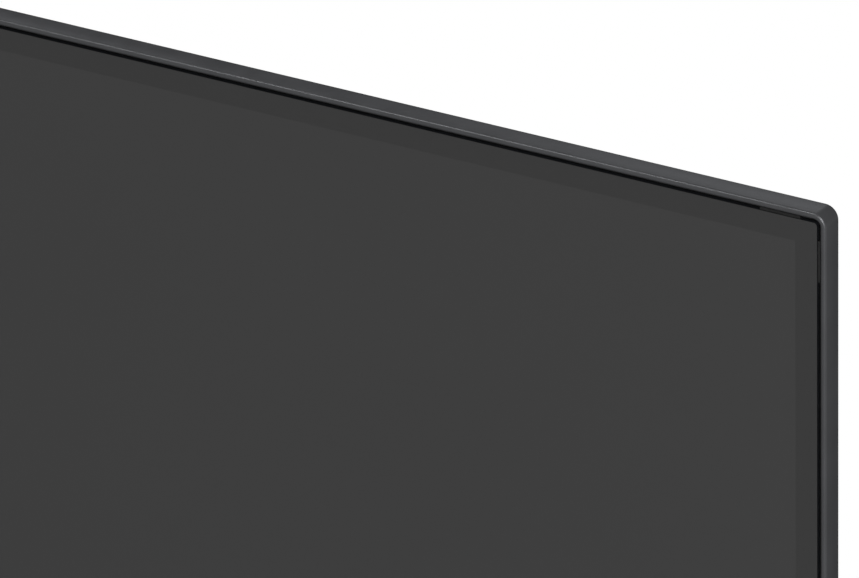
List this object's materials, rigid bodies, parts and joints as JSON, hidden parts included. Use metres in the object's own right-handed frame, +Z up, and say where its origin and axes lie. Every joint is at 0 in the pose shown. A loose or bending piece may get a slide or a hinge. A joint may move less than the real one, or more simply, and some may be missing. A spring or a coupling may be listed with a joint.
{
  "type": "flat screen television",
  "caption": "Slim flat screen television with a thin satin frame, matte screen, deeper rear housing with side sockets, and feet with spread legs.",
  "frame": {"origin": "on the floor under the middle of the set's outer box", "axes": "+X to the viewer's right along the screen, +Y from the picture to the back, +Z up"},
  "size_m": [0.9634, 0.208, 0.6226],
  "materials": {
    "frame_paint": "dark grey satin paint",
    "chin_plastic": "dark, fine satin",
    "screen_film": "dark anti-glare film with a black border",
    "panel_glass": "clear",
    "foam": "soft foam",
    "inner_plastic": "moulded",
    "clear_sheet": "frosted film",
    "guide_acrylic": "polished",
    "white_film": "white",
    "bare_aluminium": "mill finish",
    "lamp_chip": "phosphor",
    "zinc_steel": "zinc plated",
    "cover_plastic": "fine moulded texture",
    "black_screw": "black zinc",
    "circuit_board": "solder mask",
    "amber_film": "polyimide",
    "ribbon": "white ribbon",
    "nickel": "nickel plated",
    "port_black": "moulded",
    "plate_paint": "dark satin",
    "chip_black": "moulded epoxy",
    "winding_yellow": "tape",
    "can_sleeve": "sleeve",
    "connector_white": "nylon",
    "brass_pin": "plated",
    "box_plastic": "moulded",
    "magnet_grey": "ferrite",
    "cone_paper": "pressed pulp",
    "soft_rubber": "rubber",
    "foot_plastic": "satin",
    "dark_window": "infrared window",
    "wire_sleeve": "vinyl"
  },
  "bodies": {
    "root": {"bezel_frame": "frame_paint", "chin_strip": "chin_plastic", "front_polariser": "screen_film", "lcd_glass": "panel_glass", "cell_tape": "foam", "corner_pads": "foam", "mid_frame": "inner_plastic", "prism_sheet": "clear_sheet", "diffuser_sheet": "clear_sheet", "light_guide": "guide_acrylic", "reflector_sheet": "white_film", "led_bar": "bare_aluminium", "led_chips": "lamp_chip", "heat_spreader": "bare_aluminium", "rear_chassis": "zinc_steel", "back_cover": "cover_plastic", "cover_screws": "black_screw", "wall_mount_posts": "zinc_steel", "board_screws": "zinc_steel", "main_board": "circuit_board", "power_board": "circuit_board", "timing_board": "circuit_board", "source_boards": "circuit_board", "driver_films": "amber_film", "panel_ribbons": "ribbon", "socket_shells": "nickel", "socket_tongues": "port_black", "lan_socket": "port_black", "optical_socket": "port_black", "headphone_socket": "port_black", "tuner": "nickel", "jack_plate": "plate_paint", "board_chips": "chip_black", "heat_sinks": "bare_aluminium", "transformers": "winding_yellow", "capacitors": "can_sleeve", "board_connectors": "connector_white", "mains_inlet": "port_black", "inlet_pins": "brass_pin", "speaker_boxes": "box_plastic", "speaker_baskets": "zinc_steel", "speaker_magnets": "magnet_grey", "speaker_surrounds": "soft_rubber", "foot_left": "foot_plastic", "foot_right": "foot_plastic", "foot_pads": "soft_rubber", "foot_screws": "black_screw", "stand_brackets": "zinc_steel", "sensor_housing": "chin_plastic", "sensor_window": "dark_window", "sensor_board": "circuit_board", "control_board": "circuit_board", "control_switch": "port_black", "wire_harness": "wire_sleeve"},
    "left_cone": {"speaker_cone_left": "cone_paper"},
    "right_cone": {"speaker_cone_right": "cone_paper"},
    "shutter": {"optical_shutter": "port_black"},
    "plunger": {"control_plunger": "inner_plastic"},
    "cross": {"control_cross": "zinc_steel"},
    "knob": {"control_knob": "cover_plastic"}
  },
  "joints": [
    {"name": "left_cone_travel", "type": "slide", "parent": "root", "child": "left_cone", "axis": [0, 0, 1], "range_m": [-0.0012, 0.0012], "stiffness_N_per_m": 400, "deforming": ["speaker_surrounds"]},
    {"name": "right_cone_travel", "type": "slide", "parent": "root", "child": "right_cone", "axis": [0, 0, 1], "range_m": [-0.0012, 0.0012], "stiffness_N_per_m": 400, "deforming": ["speaker_surrounds"]},
    {"name": "optical_flap", "type": "hinge", "parent": "root", "child": "shutter", "pos_m": [0.3153, -0.0056, 0.1943], "axis": [0, 1, 0], "range_deg": [0, 80], "stiffness_Nm_per_rad": 0.0002},
    {"name": "stick_press", "type": "slide", "parent": "root", "child": "plunger", "axis": [0, -1, 0], "range_m": [0, 0.0004], "stiffness_N_per_m": 2000},
    {"name": "stick_sideways", "type": "hinge", "parent": "plunger", "child": "cross", "pos_m": [0.348, 0.025, 0.106], "axis": [0, 0, 1], "range_deg": [-8, 8], "stiffness_Nm_per_rad": 0.02},
    {"name": "stick_up_down", "type": "hinge", "parent": "cross", "child": "knob", "pos_m": [0.348, 0.025, 0.106], "axis": [1, 0, 0], "range_deg": [-8, 8], "stiffness_Nm_per_rad": 0.02}
  ]
}
